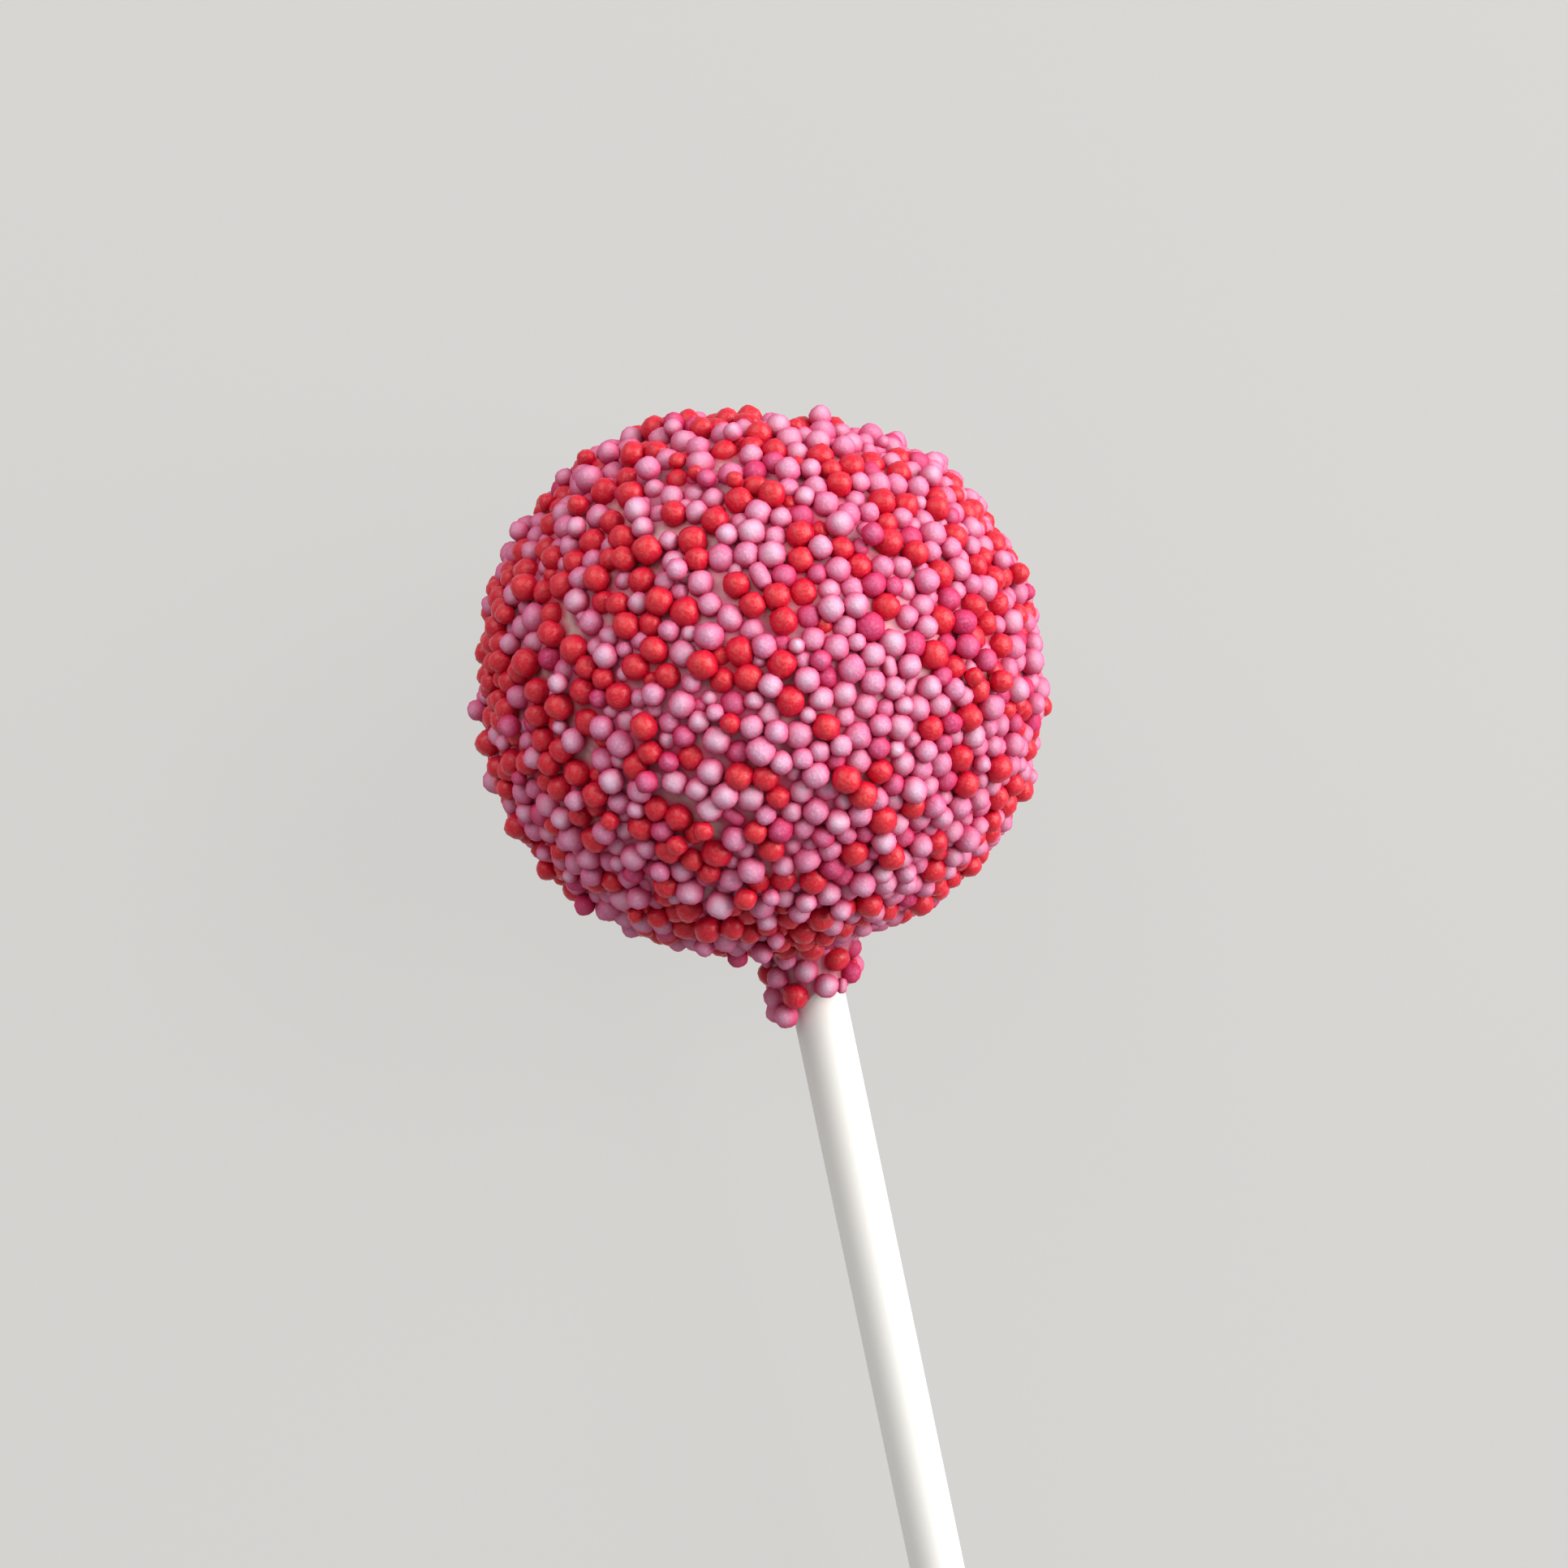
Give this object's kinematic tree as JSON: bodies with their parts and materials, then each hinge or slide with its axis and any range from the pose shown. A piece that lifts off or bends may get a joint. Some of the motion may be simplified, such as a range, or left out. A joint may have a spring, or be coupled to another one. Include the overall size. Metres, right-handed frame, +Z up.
{
  "type": "cake pop",
  "caption": "Coated ball of cake rolled in red and pink sugar balls, on a white paper stick, lying on its side.",
  "frame": {"origin": "under the middle of the whole, on the surface that the cake pop lies on", "axes": "+Y from the stick's free end towards the ball, +Z up through the shown side of the ball"},
  "size_m": [0.0394, 0.1662, 0.0387],
  "materials": {
    "red_sugar": "dry hard sugar with a fine grain and a faint sheen, coloured red",
    "light_pink_sugar": "dry hard sugar with a fine grain and a faint sheen, coloured light pink",
    "deep_pink_sugar": "dry hard sugar with a fine grain and a faint sheen, coloured deep pink",
    "ivory_coat": "set ivory candy coating with a soft sheen",
    "rolled_paper": "tightly rolled smooth white paper"
  },
  "bodies": {
    "root": {"coated_ball": "red_sugar", "stick": "rolled_paper"}
  },
  "joints": []
}
